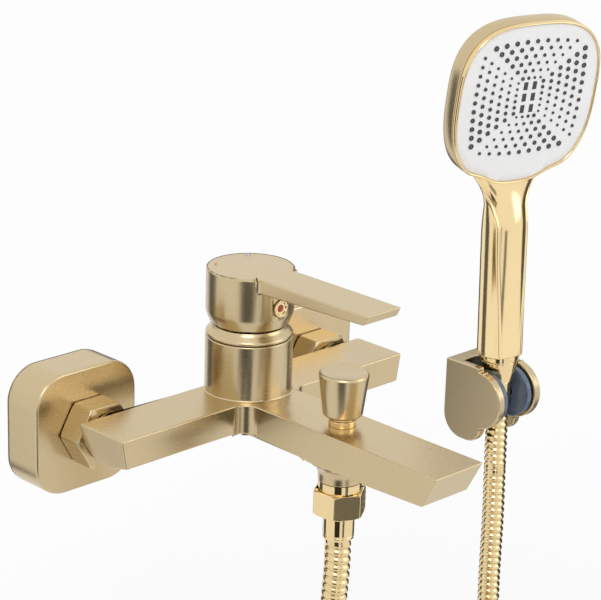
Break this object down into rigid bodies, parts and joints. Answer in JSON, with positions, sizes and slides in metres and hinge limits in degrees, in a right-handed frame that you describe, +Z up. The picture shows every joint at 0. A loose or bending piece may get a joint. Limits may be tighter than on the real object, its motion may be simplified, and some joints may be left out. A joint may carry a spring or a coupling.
{
  "type": "wall mounted bath faucet",
  "caption": "Wall mounted single lever bath and shower mixer with a flat spout, a pull-up diverter, a flexible hose, a wall bracket and a hand shower.",
  "frame": {"origin": "on the wall plane, midway between the two water connections", "axes": "+X to the right as seen by the user, +Y into the wall, +Z up"},
  "size_m": [0.3775, 0.2075, 0.5139],
  "materials": {
    "satin_gold": "satin brushed champagne gold",
    "polished_gold": "polished gold",
    "plated_gold": "gold plated plastic",
    "hose_gold": "polished gold strip",
    "raw_brass": "machined",
    "black_rubber": "matte",
    "white_plastic": "moulded",
    "ceramic": "lapped ceramic",
    "steel": "stainless",
    "red_mark": "enamel",
    "blue_mark": "enamel",
    "spray_white": "gloss",
    "nozzle_grey": "silicone",
    "holder_blue": "moulded"
  },
  "bodies": {
    "root": {"body": "satin_gold", "escutcheon_left": "satin_gold", "escutcheon_right": "satin_gold", "eccentric_left": "raw_brass", "eccentric_right": "raw_brass", "union_nut_left": "satin_gold", "union_nut_right": "satin_gold", "union_tail_left": "raw_brass", "union_tail_right": "raw_brass", "inlet_washers": "black_rubber", "check_valves": "white_plastic", "cartridge_base": "white_plastic", "cartridge_seals": "black_rubber", "cartridge_shell": "white_plastic", "fixed_disc": "ceramic", "cartridge_nut": "raw_brass", "dome_cover": "satin_gold", "diverter_gland": "polished_gold", "aerator_housing": "steel", "aerator_insert": "white_plastic", "hose_outlet_nipple": "polished_gold", "hose_washer": "black_rubber", "hose_nut": "polished_gold", "hose_ferrule_lower": "polished_gold", "hose_drop": "hose_gold", "hose_coil": "hose_gold", "hose_tie": "black_rubber", "hose_rise": "hose_gold", "bracket_plate": "steel", "bracket_body": "satin_gold", "holder_pins": "steel", "holder_washers": "black_rubber"},
    "cartridge_drive": {"cartridge_carrier": "white_plastic", "stem_pin": "steel"},
    "disc_slider": {"moving_disc": "ceramic"},
    "lever": {"lever_handle": "satin_gold", "cartridge_stem": "steel", "handle_set_screw": "steel", "handle_plug": "polished_gold", "plug_index": "red_mark", "hot_mark": "red_mark", "cold_mark": "blue_mark"},
    "diverter": {"diverter_knob": "satin_gold", "diverter_stem": "steel", "diverter_plunger": "black_rubber", "diverter_spring": "steel"},
    "holder": {"holder": "holder_blue"},
    "hose_end": {"hose_ferrule_upper": "polished_gold", "hose_top": "hose_gold"},
    "handset": {"cone_nut": "polished_gold", "handset_washer": "black_rubber", "handset_shell": "plated_gold", "handset_core": "white_plastic", "spray_bezel": "plated_gold", "spray_plate": "spray_white", "nozzles": "nozzle_grey", "slot_nozzles": "nozzle_grey"}
  },
  "joints": [
    {"name": "handle_swivel", "type": "hinge", "parent": "root", "child": "cartridge_drive", "pos_m": [0, -0.055, 0.027], "axis": [0, 0, 1], "range_deg": [-50, 50]},
    {"name": "handle_lift", "type": "hinge", "parent": "cartridge_drive", "child": "lever", "pos_m": [0, -0.055, 0.027], "axis": [-1, 0, 0], "range_deg": [0, 20]},
    {"name": "disc_travel", "type": "slide", "parent": "cartridge_drive", "child": "disc_slider", "axis": [0, -1, 0], "range_m": [0, 0.0015]},
    {"name": "diverter_lift", "type": "slide", "parent": "root", "child": "diverter", "axis": [0, 0, 1], "range_m": [0, 0.007], "stiffness_N_per_m": 40, "springref_m": -0.012, "deforming": ["diverter_spring"]},
    {"name": "holder_tilt", "type": "hinge", "parent": "root", "child": "holder", "pos_m": [0.228, -0.025, -0.057], "axis": [1, 0, 0], "range_deg": [-1.5, 20], "deforming": ["hose_rise", "hose_top"]},
    {"name": "handset_lift", "type": "slide", "parent": "holder", "child": "hose_end", "axis": [0, 0.0262, 0.9997], "range_m": [0, 0.03], "deforming": ["hose_top"]},
    {"name": "handset_twist", "type": "hinge", "parent": "hose_end", "child": "handset", "pos_m": [0.228, -0.025, -0.057], "axis": [0, 0.0262, 0.9997], "range_deg": [-5, 35]}
  ],
  "couplings": [
    {"joint": "disc_travel", "follows": "handle_lift", "m_per_rad": 0.004}
  ]
}
